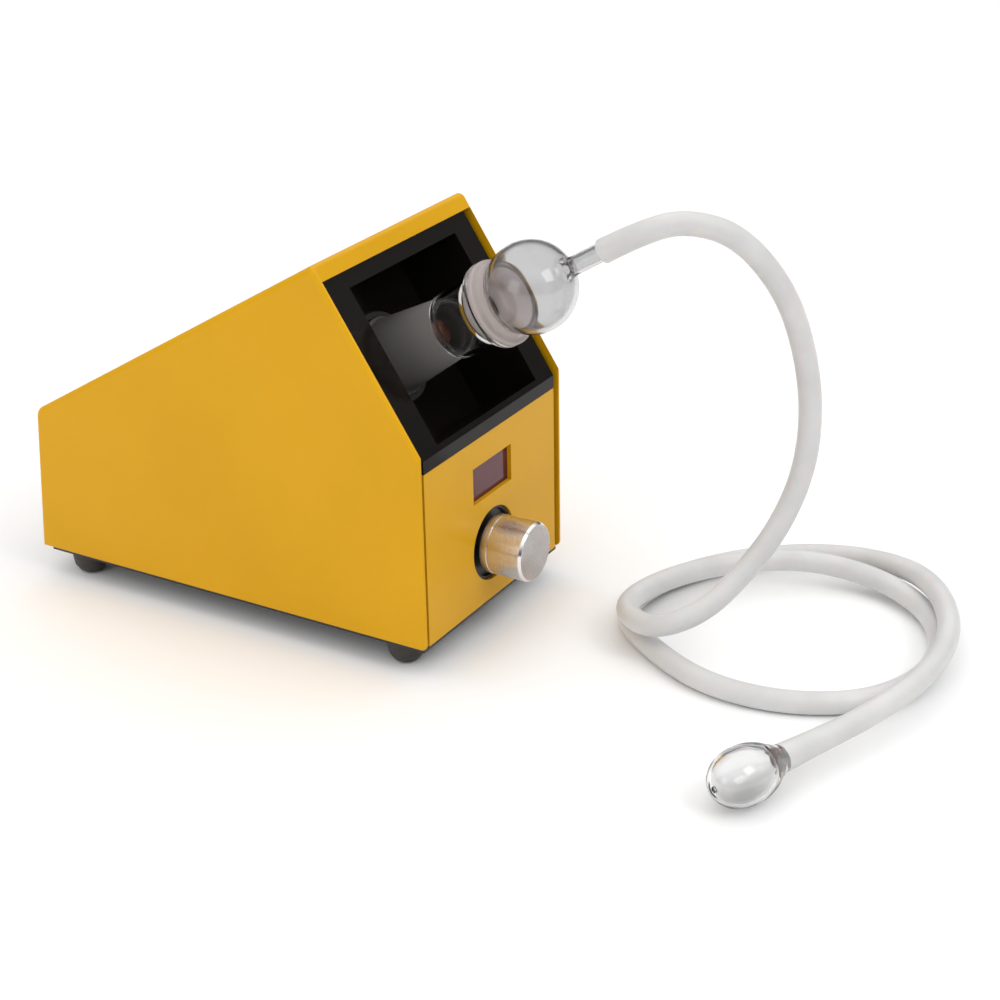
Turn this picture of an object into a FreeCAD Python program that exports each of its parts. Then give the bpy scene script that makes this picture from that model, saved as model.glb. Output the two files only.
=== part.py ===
import FreeCAD, Part
import math
import os

import Sketcher
from FreeCAD import Placement, Rotation, Vector

# Desktop hot-air vaporizer: a wedge-shaped sheet-metal box that holds a ceramic heater inside a
# ground-glass joint, a clear glass bowl on that joint, and a whip (bulb, hose and mouthpiece).
# Frame: origin on the resting plane, under the middle of the rigid object (box, glass and knob,
# without the hose and mouthpiece); -Y is the front, +Z is up. The box is drawn about its own
# middle and then moved back by origin_back.

DIMENSIONS = {
    "origin_back": 24.0,
    # box, as seen from the side
    "box_width": 113.0,
    "half_depth": 103.2,
    "shell_bottom": 13.2,
    "lip_top": 99.6,
    "slope_angle": 57.0,
    "axis_tilt": 1.3,
    "slope_length": 86.5,
    "rear_top_y": 97.5,
    "rear_top_z": 81.4,
    "sheet": 1.5,
    "edge_radius": 3.0,
    "raw_edge": 0.7,
    "toe_radius": 2.5,
    # parts set in the front opening
    "insert_half": 52.3,
    "tray_inset": 2.2,
    "panel_inset": 0.8,
    "insert_thick": 2.0,
    "panel_bottom": 13.7,
    "panel_top": 90.9,
    "lip_drop": 5.7,
    "opening_top": 78.8,
    "tray_top": 82.0,
    "well_half": 39.5,
    "well_low": 0.7,
    "well_high": 72.0,
    "well_depth": 36.0,
    "well_wall": 2.0,
    # glass on the heater axis, measured along the axis from the slope plane
    "axis_up": 38.5,
    "foot_gap": 0.45,
    "foot_radius": 18.0,
    "lip_height": 4.0,
    "taper_big": 16.2,
    "taper_small": 13.2,
    "shoulder_at": 3.0,
    "tip_radius": 11.7,
    "tip_at": 5.2,
    "rod_radius": 6.0,
    "rod_drop": 4.0,
    "rod_edge": 0.4,
    "cap_thick": 0.8,
    "glass_wall": 1.7,
    "bowl_radius": 14.35,
    "bowl_top": 28.7,
    "ring_radius": 18.35,
    "plug_at": 21.0,
    "plug_radius": 11.4,
    "plug_gap": 0.05,
    "neck_radius": 15.8,
    "bulb_at": 47.2,
    "bulb_radius": 19.1,
    "nozzle_radius": 3.8,
    "nozzle_end": 81.25,
    # hose and mouthpiece
    "hose_diameter": 9.5,
    "mouth_radius": 11.6,
    "mouth_tall": 14.85,
    "mouth_middle": 22.0,
    "mouth_stem": 6.4,
    "mouth_bore": 2.4,
    "mouth_hole": 1.1,
    # knob and control
    "knob_height": 38.8,
    "knob_radius": 13.0,
    "knob_face": 122.9,
    "knob_chamfer": 1.0,
    "knob_chamfer_long": 2.2,
    "knob_hole": 16.4,
    "shaft_radius": 3.0,
    "shaft_gap": 0.05,
    "grub_back": 7.0,
    "grub_radius": 1.5,
    # display
    "window_half": 15.4,
    "window_low": 62.2,
    "window_high": 78.7,
    # base and feet
    "plate_bottom": 11.5,
    "plate_half": 54.9,
    "plate_depth": 101.4,
    "foot_x": 45.0,
    "foot_y": 86.0,
    "rubber_radius": 8.25,
}

doc = FreeCAD.newDocument("vaporizer")
sheet = doc.addObject("Spreadsheet::Sheet", "Dims")
for row, (alias, number) in enumerate(DIMENSIONS.items(), start=1):
    sheet.set("A%d" % row, alias)
    sheet.set("B%d" % row, str(number))
    sheet.setAlias("B%d" % row, alias)
doc.recompute()

SUB_PARTS = []

# Named places that several sub-parts share, as expressions on the sheet.
APEX_Y = "(-Dims.half_depth + Dims.slope_length * cos(Dims.slope_angle))"
APEX_Z = "(Dims.lip_top + Dims.slope_length * sin(Dims.slope_angle))"
ROOF = f"(atan2({APEX_Z} - Dims.rear_top_z; Dims.rear_top_y - {APEX_Y}) / 1 deg)"
LEAN = "(atan2(Dims.half_depth - Dims.rear_top_y; Dims.rear_top_z - Dims.shell_bottom) / 1 deg)"


# Pins and screws of the power inlet and screws of the rear panel, in the panel's own frame.
INLET_PINS = [(20.2, 18.5), (33.8, 18.5), (27, 23)]
INLET_SCREWS = [(7, 20.5), (47, 20.5)]
REAR_SCREWS = [(x, y) for x in (-48, 48) for y in (4, 57)]

FIN_COUNT = 5
FIN_PITCH = 4.6
FIN_THICK = 1.4

# Route of the hose's centre line in the object's frame: from the nozzle over one high arch, down
# to a tight turn on the left, then two flat loops and out to the mouthpiece.
HOSE_ROUTE = [
    (0, -127.36, 174.58), (0, -148.6, 187.7), (7, -163.6, 191.8), (20.4, -179.4, 184.1),
    (35.5, -192.2, 159.8), (44.3, -198.3, 131.5), (49, -200.2, 102.9), (47.2, -198.1, 76.4),
    (39.4, -190.8, 53.1), (27.1, -181.7, 36.6), (9.5, -171.8, 23.9), (-2, -153.5, 17),
    (13.5, -131.5, 15.1), (44.3, -134.2, 14), (74.4, -152.2, 14), (99.7, -180.9, 12),
    (104.3, -216.7, 7.6), (85.1, -247.7, 4.9), (47.8, -261.4, 4.9), (11.3, -251.3, 4.9),
    (-9, -222.7, 4.9), (-12.5, -187.3, 4.9), (1.4, -155.7, 4.9), (23.3, -127.4, 4.9),
    (55.5, -125, 4.9), (92.9, -144.3, 4.9), (117.4, -173, 5), (119.7, -206.4, 9),
    (101, -238.2, 15), (64.2, -261.3, 15.8), (23.4, -266.2, 15.5), (-12.6, -257.7, 14),
    (-35.1, -247.3, 12), (-56, -239, 12),
]
CORNER_SHARE = 0.45


def size(name):
    """A driving dimension, read from the sheet."""
    return float(sheet.get(name))


# ---------------------------------------------------------------- modelling helpers

def in_frame(placement=None):
    """A placement given about the middle of the box, moved into the object's frame."""
    back = Placement(Vector(0, size("origin_back"), 0), Rotation())
    return back.multiply(placement or Placement())


def new_body(label, placement=None):
    """A body of its own for one piece; its placement is about the middle of the box."""
    body = doc.addObject("PartDesign::Body", label)
    body.Label = label
    body.Placement = in_frame(placement)
    SUB_PARTS.append(body)
    return body


def new_sketch(body, role, height="0"):
    """A sketch on one of the body's own origin planes, lifted along its normal."""
    plane = [item for item in body.Origin.OriginFeatures if item.Role == role][0]
    sketch = body.newObject("Sketcher::SketchObject", body.Label + "_sketch")
    sketch.AttachmentSupport = [(plane, "")]
    sketch.MapMode = "FlatFace"
    if height != "0":
        sketch.setExpression(".AttachmentOffset.Base.z", height)
    return sketch


def bind_point(sketch, geometry, point, x, y):
    """Hold one point of the sketch at coordinates given as expressions."""
    for kind, axis, text in (("DistanceX", -2, x), ("DistanceY", -1, y)):
        number = float(sketch.evalExpression(text))
        if abs(number) < 1e-9:
            sketch.addConstraint(Sketcher.Constraint("PointOnObject", geometry, point, axis))
            continue
        index = sketch.addConstraint(Sketcher.Constraint(kind, -1, 1, geometry, point, number))
        sketch.setExpression("Constraints[%d]" % index, text)


def outline(sketch, corners):
    """A closed outline of straight lines through corners given as expressions."""
    corners = [(str(x), str(y)) for x, y in corners]
    places = [Vector(float(sketch.evalExpression(x)), float(sketch.evalExpression(y)), 0)
              for x, y in corners]
    first = sketch.GeometryCount
    count = len(corners)
    for number in range(count):
        line = Part.LineSegment(places[number], places[(number + 1) % count])
        sketch.addGeometry(line, False)
    for number in range(count):
        after = first + (number + 1) % count
        sketch.addConstraint(Sketcher.Constraint("Coincident", first + number, 2, after, 1))
    for number, (x, y) in enumerate(corners):
        bind_point(sketch, first + number, 1, x, y)


def rectangle(sketch, left, low, right, high):
    outline(sketch, [(left, low), (right, low), (right, high), (left, high)])


def circle(sketch, x, y, radius):
    place = Vector(float(sketch.evalExpression(str(x))), float(sketch.evalExpression(str(y))), 0)
    number = float(sketch.evalExpression(str(radius)))
    index = sketch.addGeometry(Part.Circle(place, Vector(0, 0, 1), number), False)
    held = sketch.addConstraint(Sketcher.Constraint("Radius", index, number))
    sketch.setExpression("Constraints[%d]" % held, str(radius))
    bind_point(sketch, index, 3, str(x), str(y))


def hexagon(sketch, corner_radius):
    """A hexagon about the sketch's origin, given by the radius of its corners."""
    outline(sketch, [(f"{corner_radius} * cos({turn})", f"{corner_radius} * sin({turn})")
                     for turn in range(0, 360, 60)])


def pad(body, sketch, length, midplane=False):
    feature = body.newObject("PartDesign::Pad", body.Label + "_pad")
    feature.Profile = sketch
    feature.setExpression("Length", str(length))
    feature.Midplane = midplane
    doc.recompute()


def pocket(body, sketch, length, midplane=False, backwards=False):
    """Cut the sketch out of the body; a cut that removes nothing is an error."""
    before = body.Shape.Volume
    feature = body.newObject("PartDesign::Pocket", body.Label + "_pocket")
    feature.Profile = sketch
    feature.setExpression("Length", str(length))
    feature.Midplane = midplane
    feature.Reversed = backwards
    doc.recompute()
    if not body.Shape.Volume < before - 0.01:
        raise RuntimeError("a pocket cuts nothing in " + body.Label)


def turned(label, profile, placement):
    """A body of revolution about its own Z; the profile is (radius, height) pairs."""
    body = new_body(label, placement)
    sketch = new_sketch(body, "XZ_Plane")
    outline(sketch, profile)
    feature = body.newObject("PartDesign::Revolution", label + "_turn")
    feature.Profile = sketch
    feature.ReferenceAxis = (sketch, ["V_Axis"])
    feature.Angle = 360
    doc.recompute()
    return body


def soften(body, radius, wanted):
    """Round the edges that the test picks."""
    tip = body.Tip
    names = ["Edge%d" % (number + 1) for number, edge in enumerate(tip.Shape.Edges) if wanted(edge)]
    feature = body.newObject("PartDesign::Fillet", body.Label + "_fillet")
    feature.Base = (tip, names)
    feature.setExpression("Radius", str(radius))
    doc.recompute()


def attach(feature, body):
    """Attach a primitive to the body's own XY plane."""
    plane = [item for item in body.Origin.OriginFeatures if item.Role == "XY_Plane"][0]
    feature.AttachmentSupport = [(plane, "")]
    feature.MapMode = "FlatFace"
    doc.recompute()


def is_circle(edge, radius):
    return isinstance(edge.Curve, Part.Circle) and abs(edge.Curve.Radius - radius) < 0.01


def joined(label, shapes, placement):
    """Solids made in code that are one piece or one set, such as equal screws."""
    feature = doc.addObject("Part::Feature", label)
    feature.Label = label
    feature.Shape = Part.makeCompound(shapes) if len(shapes) > 1 else shapes[0]
    feature.Placement = placement
    SUB_PARTS.append(feature)


def along_slope(up=0.0, tilt=0.0):
    """Placement whose X is across, Y is up the slope and Z points out of the slope."""
    angle = math.radians(size("slope_angle"))
    y = -size("half_depth") + up * math.cos(angle)
    z = size("lip_top") + up * math.sin(angle)
    return Placement(Vector(0, y, z), Rotation(Vector(1, 0, 0), size("slope_angle") + tilt))


def axis_meets(depth):
    """How far up the slope the leaning heater axis is at a depth below the slope plane."""
    return size("axis_up") + depth * math.tan(math.radians(size("axis_tilt")))


HEATER_AXIS = along_slope(size("axis_up"), size("axis_tilt"))


def facing_front(x, y, z):
    """Placement whose Z points to the front, -Y."""
    return Placement(Vector(x, y, z), Rotation(Vector(1, 0, 0), 90))


def screw_shape(base, way, head_radius, head_height, shank_radius, shank_length):
    """A pan-head screw; base is under the head, way is from the head into the work."""
    head = Part.makeCylinder(head_radius, head_height, base, way * -1)
    top = [edge for edge in head.Edges if isinstance(edge.Curve, Part.Circle)
           and (edge.Curve.Center - base).Length > head_height / 2]
    head = head.makeFillet(head_height * 0.4, top)
    slot_centre = base - way * head_height
    side = Part.makeCylinder(head_radius * 0.45, head_height * 0.5, slot_centre, way)
    shank = Part.makeCylinder(shank_radius, shank_length, base, way)
    return head.cut(side).fuse(shank).removeSplitter()


# ---------------------------------------------------------------- box

def side_outline(inset="0"):
    """Corners of the wedge from the side, moved inwards by a distance."""
    turn = "(90 - Dims.slope_angle)"
    apex = f"(1 + cos(Dims.slope_angle + {ROOF}))"
    return [
        (f"-Dims.half_depth + {inset}", "Dims.shell_bottom"),
        (f"-Dims.half_depth + {inset}", f"Dims.lip_top - {inset} * tan({turn} / 2)"),
        (f"{APEX_Y} - {inset} * (sin({ROOF}) - sin(Dims.slope_angle)) / {apex}",
         f"{APEX_Z} - {inset} * (cos(Dims.slope_angle) + cos({ROOF})) / {apex}"),
    ]


def make_cover():
    """Folded sheet cover: two sides, the roof and a narrow strip above the open front."""
    body = new_body("cover")
    outer = new_sketch(body, "YZ_Plane")
    outline(outer, side_outline() + [("Dims.rear_top_y", "Dims.rear_top_z"),
                                     ("Dims.half_depth", "Dims.shell_bottom")])
    pad(body, outer, "Dims.box_width", midplane=True)
    half = size("box_width") / 2
    bottom = size("shell_bottom")
    rear = size("rear_top_y")
    apex_y = float(sheet.evalExpression(APEX_Y.replace("Dims.", "")))

    def on_side(edge):
        middle = edge.CenterOfMass
        return abs(abs(middle.x) - half) < 0.01 and middle.z > bottom + 1 and middle.y < rear

    def is_raw(edge):
        return on_side(edge) and edge.CenterOfMass.y < apex_y

    def is_roof(edge):
        return on_side(edge) and edge.CenterOfMass.y > apex_y

    def is_fold(edge):
        low, high = edge.Vertexes[0].Point, edge.Vertexes[-1].Point
        return abs(low.x - high.x) > 50 and low.z > size("lip_top") - 4

    def is_toe(edge):
        low, high = edge.Vertexes[0].Point, edge.Vertexes[-1].Point
        middle = edge.CenterOfMass
        return abs(low.x - high.x) > 50 and middle.z < bottom + 0.01 and middle.y < 0

    soften(body, "Dims.toe_radius", is_toe)
    soften(body, "Dims.edge_radius", is_roof)
    soften(body, "Dims.edge_radius * 0.7", is_fold)
    soften(body, "Dims.raw_edge", is_raw)
    hollow = new_sketch(body, "YZ_Plane")
    slack = "10"
    front_low, front_high, apex = side_outline("Dims.sheet")
    drop = f"tan({ROOF})"
    outline(hollow, [
        (front_low[0], f"Dims.shell_bottom - {slack}"),
        front_high,
        apex,
        (f"Dims.half_depth + {slack}",
         f"{apex[1]} - (Dims.half_depth + {slack} - ({apex[0]})) * {drop}"),
        (f"Dims.half_depth + {slack}", f"Dims.shell_bottom - {slack}"),
    ])
    pocket(body, hollow, "Dims.box_width - 2 * Dims.sheet", midplane=True)
    opening = new_sketch(body, "YZ_Plane")
    end_y = "(-Dims.half_depth + Dims.opening_top * cos(Dims.slope_angle))"
    end_z = "(Dims.lip_top + Dims.opening_top * sin(Dims.slope_angle))"
    outline(opening, [
        ("-Dims.half_depth - 2", f"Dims.shell_bottom - {slack}"),
        ("-Dims.half_depth + 5", f"Dims.shell_bottom - {slack}"),
        ("-Dims.half_depth + 5", "Dims.lip_top - 2"),
        (f"{end_y} + 5 * sin(Dims.slope_angle)", f"{end_z} - 5 * cos(Dims.slope_angle)"),
        (f"{end_y} - 2 * sin(Dims.slope_angle)", f"{end_z} + 2 * cos(Dims.slope_angle)"),
        ("-Dims.half_depth - 2", "Dims.lip_top + 1.2"),
    ])
    pocket(body, opening, "Dims.box_width - 2 * Dims.sheet", midplane=True)


def make_front_panel():
    """Flat panel under the tray, with the display window and the round knob hole."""
    place = facing_front(0, -size("half_depth") + size("panel_inset") + size("insert_thick"), 0)
    body = new_body("front_panel", place)
    face = new_sketch(body, "XY_Plane")
    rectangle(face, "-Dims.insert_half", "Dims.panel_bottom", "Dims.insert_half", "Dims.panel_top")
    rectangle(face, "-Dims.window_half", "Dims.window_low", "Dims.window_half", "Dims.window_high")
    circle(face, "0", "Dims.knob_height", "Dims.knob_hole")
    pad(body, face, "Dims.insert_thick")


def make_base_plate():
    """Floor plate with two upturned flanges and rows of air slots."""
    body = new_body("base_plate")
    floor = new_sketch(body, "XY_Plane", "Dims.plate_bottom")
    rectangle(floor, "-Dims.plate_half", "-Dims.plate_depth",
              "Dims.plate_half", "Dims.plate_depth - 2")
    pad(body, floor, "Dims.sheet")
    flanges = new_sketch(body, "XY_Plane", "Dims.plate_bottom")
    for side in ("-", ""):
        inner = f"{side}(Dims.plate_half - 1.3)"
        outer = f"{side}Dims.plate_half"
        left, right = (outer, inner) if side else (inner, outer)
        rectangle(flanges, left, "-Dims.plate_depth + 4", right, "Dims.plate_depth - 6")
    pad(body, flanges, "11")
    slots = new_sketch(body, "XY_Plane", "Dims.plate_bottom - 1")
    for number in range(6):
        low = f"-30 + {number} * 11"
        rectangle(slots, "-26", low, "26", f"{low} + 4")
    for x in ("-", ""):
        for y in ("-", ""):
            circle(slots, f"{x}Dims.foot_x", f"{y}Dims.foot_y", "1.5")
    pocket(body, slots, "Dims.sheet + 2", backwards=True)


def rear_placement():
    """Placement on the leaning rear plane: X across, Y up the plane, Z to the rear."""
    lean = float(sheet.evalExpression(LEAN.replace("Dims.", "")))
    foot = Vector(0, size("half_depth") - 2.6, size("shell_bottom"))
    half_turn = Rotation(Vector(0, 1, 0), 180)
    return Placement(foot, Rotation(Vector(1, 0, 0), 90 + lean).multiply(half_turn))


def make_rear_panel():
    """Leaning rear panel with the power inlet cut-out and a field of air slots."""
    body = new_body("rear_panel", rear_placement())
    face = new_sketch(body, "XY_Plane")
    rectangle(face, "-54.7", "0.5", "54.7", "63")
    rectangle(face, "12.6", "10", "41.4", "31")
    for number in range(5):
        low = f"16 + {number} * 7"
        rectangle(face, "-42", low, "-6", f"{low} + 3")
    for x, y in INLET_SCREWS:
        circle(face, x, y, "1.5")
    for x, y in REAR_SCREWS:
        circle(face, x, y, "1.4")
    pad(body, face, "2")


# ---------------------------------------------------------------- tray and heater

def make_tray():
    """Black tray on the slope: a flat bezel, a deep well and a lip folded down over the front."""
    body = new_body("heater_tray", along_slope())
    section = new_sketch(body, "YZ_Plane")
    thick = "Dims.insert_thick"
    slope = "Dims.slope_angle"
    down = (f"Dims.lip_drop * sin({slope})", f"Dims.lip_drop * cos({slope})")
    back = (f"{thick} * cos({slope})", f"{thick} * sin({slope})")
    inner = f"(Dims.tray_inset + {thick})"
    fold = f"((Dims.panel_inset - Dims.tray_inset * sin({slope})) / cos({slope}))"
    inner_fold = f"((Dims.panel_inset + {thick} - {inner} * sin({slope})) / cos({slope}))"
    outline(section, [
        ("Dims.tray_top", "-Dims.tray_inset"),
        (fold, "-Dims.tray_inset"),
        (f"{fold} - {down[0]}", f"-Dims.tray_inset - {down[1]}"),
        (f"{fold} - {down[0]} + {back[0]}", f"-Dims.tray_inset - {down[1]} - {back[1]}"),
        (inner_fold, f"-{inner}"),
        ("Dims.tray_top", f"-{inner}"),
    ])
    pad(body, section, "2 * Dims.insert_half", midplane=True)
    well = new_sketch(body, "XY_Plane", f"-Dims.well_depth - {thick}")
    wall = "Dims.well_wall"
    rectangle(well, f"-Dims.well_half - {wall}", f"Dims.well_low - {wall} + 0.4",
              f"Dims.well_half + {wall}", f"Dims.well_high + {wall}")
    pad(body, well, f"Dims.well_depth + {thick} - Dims.tray_inset - 1")
    hollow = new_sketch(body, "XY_Plane", "-Dims.well_depth")
    rectangle(hollow, "-Dims.well_half", "Dims.well_low", "Dims.well_half", "Dims.well_high")
    pocket(body, hollow, "Dims.well_depth + 5", backwards=True)
    bore = new_sketch(body, "XY_Plane", "-Dims.well_depth - 5")
    circle(bore, "0", "Dims.axis_up + Dims.well_depth * tan(Dims.axis_tilt)", "13")
    pocket(body, bore, "10", backwards=True)


def make_heater():
    """Ground-glass joint on the well floor, with the heater rod and its socket behind it."""
    wall = "Dims.glass_wall"
    foot = "(-Dims.well_depth + Dims.foot_gap)"
    turned("heater_joint", [
        ("Dims.foot_radius", foot),
        ("Dims.foot_radius", f"{foot} + Dims.lip_height"),
        ("Dims.taper_big + 0.5", f"{foot} + Dims.lip_height + 1.2"),
        ("Dims.taper_big", f"{foot} + Dims.lip_height + 4"),
        ("Dims.taper_small", "Dims.shoulder_at"),
        ("Dims.tip_radius", "Dims.shoulder_at"),
        ("Dims.tip_radius - 0.3", "Dims.tip_at"),
        (f"Dims.tip_radius - {wall}", "Dims.tip_at"),
        (f"Dims.tip_radius - {wall}", f"Dims.shoulder_at - {wall}"),
        (f"Dims.taper_small - {wall}", f"Dims.shoulder_at - {wall}"),
        (f"Dims.taper_big - {wall}", foot),
    ], HEATER_AXIS)
    turned("joint_clamp", [
        ("Dims.foot_radius + 0.2", "-Dims.well_depth"),
        ("Dims.foot_radius + 3.2", "-Dims.well_depth"),
        ("Dims.foot_radius + 3.2", "-Dims.well_depth + 2"),
        ("Dims.foot_radius + 2.4", "-Dims.well_depth + 3"),
        ("Dims.foot_radius + 0.2", "-Dims.well_depth + 3"),
    ], along_slope(axis_meets(size("well_depth"))))
    turned("ceramic_heater", [
        ("0", "-Dims.well_depth - 12"),
        ("Dims.rod_radius", "-Dims.well_depth - 12"),
        ("Dims.rod_radius", "-Dims.rod_drop - Dims.rod_edge"),
        ("Dims.rod_radius - Dims.rod_edge", "-Dims.rod_drop"),
        ("0", "-Dims.rod_drop"),
    ], HEATER_AXIS)
    socket = turned("heater_socket", [
        ("Dims.rod_radius", "-Dims.well_depth - 24"),
        ("10", "-Dims.well_depth - 24"),
        ("10", "-Dims.well_depth - Dims.foot_gap - 6"),
        ("19", "-Dims.well_depth - Dims.foot_gap - 6"),
        ("19", "-Dims.well_depth - Dims.foot_gap - 2"),
        ("Dims.rod_radius", "-Dims.well_depth - Dims.foot_gap - 2"),
    ], HEATER_AXIS)
    holes = new_sketch(socket, "XY_Plane", "-Dims.well_depth - 8")
    for x in ("-15.5", "15.5"):
        circle(holes, x, "0", "1.4")
    pocket(socket, holes, "6", backwards=True)
    turned("heater_cap", [
        ("0", "-Dims.rod_drop"),
        ("Dims.rod_radius - Dims.rod_edge", "-Dims.rod_drop"),
        ("Dims.rod_radius - Dims.rod_edge", "-Dims.rod_drop + Dims.cap_thick"),
        ("0", "-Dims.rod_drop + 2 * Dims.cap_thick"),
    ], HEATER_AXIS)
    depth = -size("well_depth") - size("foot_gap") - 6
    screws = [screw_shape(Vector(side * 15.5, 0, depth), Vector(0, 0, 1), 2.6, 1.8, 1.4, 3.9)
              for side in (-1, 1)]
    joined("socket_screws", screws, in_frame(HEATER_AXIS))


# ---------------------------------------------------------------- glass that lifts off

def make_bowl():
    """Clear bowl: a cylinder seated on the joint's shoulder, with a rolled ring at its mouth."""
    plug = "Dims.plug_radius + Dims.plug_gap"
    body = turned("bowl", [
        ("Dims.tip_radius + 0.1", "Dims.shoulder_at"),
        ("Dims.bowl_radius", "Dims.shoulder_at"),
        ("Dims.bowl_radius", "Dims.bowl_top - 3.2"),
        ("Dims.ring_radius", "Dims.bowl_top - 2.4"),
        ("Dims.ring_radius", "Dims.bowl_top"),
        (f"{plug} + 0.55", "Dims.bowl_top"),
        (plug, "Dims.plug_at"),
        ("12.4", "Dims.plug_at - 1"),
        ("12.4", "Dims.shoulder_at + 2"),
        ("Dims.tip_radius + 0.1", "Dims.shoulder_at + 2"),
    ], HEATER_AXIS)
    ring = size("ring_radius")
    soften(body, "1", lambda edge: is_circle(edge, ring))


def make_bulb():
    """Blown bulb with a ground plug below, a ring that seats on the bowl, and a hose nozzle."""
    body = new_body("whip_bulb", HEATER_AXIS)
    sketch = new_sketch(body, "XZ_Plane")
    wall = "Dims.glass_wall"
    outline(sketch, [
        ("Dims.plug_radius", "Dims.plug_at"),
        ("Dims.plug_radius + 0.55", "Dims.bowl_top"),
        ("Dims.ring_radius", "Dims.bowl_top"),
        ("Dims.ring_radius", "Dims.bowl_top + 2.7"),
        ("Dims.neck_radius", "Dims.bowl_top + 3.5"),
        ("Dims.neck_radius", "Dims.bulb_at - 10"),
        (f"Dims.neck_radius - {wall}", "Dims.bulb_at - 10"),
        (f"Dims.plug_radius - {wall}", "Dims.bowl_top"),
        (f"Dims.plug_radius - {wall}", "Dims.plug_at"),
    ])
    turn = body.newObject("PartDesign::Revolution", "whip_bulb_neck")
    turn.Profile = sketch
    turn.ReferenceAxis = (sketch, ["V_Axis"])
    turn.Angle = 360
    doc.recompute()
    ring = size("ring_radius")
    soften(body, "1.1", lambda edge: is_circle(edge, ring))
    ball = body.newObject("PartDesign::AdditiveSphere", "whip_bulb_ball")
    ball.setExpression("Radius", "Dims.bulb_radius")
    ball.setExpression(".AttachmentOffset.Base.z", "Dims.bulb_at")
    attach(ball, body)
    nozzle = body.newObject("PartDesign::AdditiveCylinder", "whip_bulb_nozzle")
    nozzle.setExpression("Radius", "Dims.nozzle_radius")
    nozzle.setExpression("Height", "Dims.nozzle_end - Dims.bulb_at - 10")
    nozzle.setExpression(".AttachmentOffset.Base.z", "Dims.bulb_at + 10")
    attach(nozzle, body)
    inside = body.newObject("PartDesign::SubtractiveSphere", "whip_bulb_inside")
    inside.setExpression("Radius", f"Dims.bulb_radius - {wall}")
    inside.setExpression(".AttachmentOffset.Base.z", "Dims.bulb_at")
    attach(inside, body)
    bore = body.newObject("PartDesign::SubtractiveCylinder", "whip_bulb_bore")
    bore.setExpression("Radius", "Dims.nozzle_radius - 1.2")
    bore.setExpression("Height", "Dims.nozzle_end - Dims.bulb_at - 9")
    bore.setExpression(".AttachmentOffset.Base.z", "Dims.bulb_at + 10")
    attach(bore, body)
    throat = body.newObject("PartDesign::SubtractiveCylinder", "whip_bulb_throat")
    throat.setExpression("Radius", f"Dims.plug_radius - {wall}")
    throat.setExpression("Height", "Dims.bulb_at - Dims.plug_at")
    throat.setExpression(".AttachmentOffset.Base.z", "Dims.plug_at")
    attach(throat, body)
    foot = size("nozzle_radius")

    def is_root(edge):
        return is_circle(edge, foot) and edge.CenterOfMass.z < size("nozzle_end") - 3

    soften(body, "2", is_root)


def hose_path(points):
    """Straight runs joined by tangent arcs, and the radii of those arcs."""
    edges, radii = [], []
    start = points[0]
    for before, corner, after in zip(points, points[1:], points[2:]):
        to_before, to_after = (before - corner), (after - corner)
        trim = CORNER_SHARE * min(to_before.Length, to_after.Length)
        half_turn = (math.pi - to_before.getAngle(to_after)) / 2
        radius = trim / math.tan(half_turn)
        enter = corner + to_before.normalize() * trim
        leave = corner + to_after.normalize() * trim
        bisector = (to_before + to_after).normalize()
        middle = corner + bisector * (radius / math.cos(half_turn) - radius)
        edges.append(Part.LineSegment(start, enter).toShape())
        edges.append(Part.Arc(enter, middle, leave).toShape())
        radii.append(radius)
        start = leave
    edges.append(Part.LineSegment(start, points[-1]).toShape())
    return Part.Wire(edges), radii


def make_hose():
    points = [Vector(*place) for place in HOSE_ROUTE]
    path, radii = hose_path(points)
    radius = size("hose_diameter") / 2
    way = (points[1] - points[0]).normalize()
    section = Part.Wire([Part.makeCircle(radius, points[0], way)])
    shape = path.makePipeShell([section], True, False)
    area = math.pi * radius ** 2
    ratio = shape.Volume / (area * path.Length)
    print("hose: length %.1f mm, volume ratio %.4f" % (path.Length, ratio))
    print("hose: corner radii", ", ".join("%.0f" % value for value in radii))
    if abs(ratio - 1) > 0.01:
        raise RuntimeError("the hose's volume does not match its length")
    joined("hose", [shape], Placement())


def ovoid(wide, tall, height):
    """An ellipsoid of revolution about Z, centred at a height."""
    centre = Vector(0, 0, height)
    ellipse = Part.Ellipse(centre + Vector(0, 0, tall), centre + Vector(wide, 0, 0), centre)
    side = ellipse.toShape(0, math.pi)
    closing = Part.LineSegment(side.valueAt(side.LastParameter), side.valueAt(0)).toShape()
    face = Part.Face(Part.Wire([side, closing]))
    return face.revolve(Vector(0, 0, 0), Vector(0, 0, 1), 360)


def make_mouthpiece():
    """Blown glass mouthpiece: an ovoid with a small tip hole and a short stem in the hose."""
    end = Vector(*HOSE_ROUTE[-1])
    way = (end - Vector(*HOSE_ROUTE[-2])).normalize()
    wide = size("mouth_radius")
    wall = size("glass_wall")
    tall = size("mouth_tall")
    middle = size("mouth_middle")
    outer = ovoid(wide, tall, middle)
    inner = ovoid(wide - wall, tall - wall, middle)
    stem = Part.makeCone(size("hose_diameter") / 2 - 0.6, size("mouth_stem"), 12)
    bore = Part.makeCylinder(size("mouth_bore"), middle)
    tip_hole = Part.makeCylinder(size("mouth_hole"), middle + tall + 2)
    solid = outer.fuse(stem).cut(inner).cut(bore).cut(tip_hole)
    joined("mouthpiece", [solid], Placement(end, Rotation(Vector(0, 0, 1), way)))


# ---------------------------------------------------------------- knob, control and display

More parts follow.
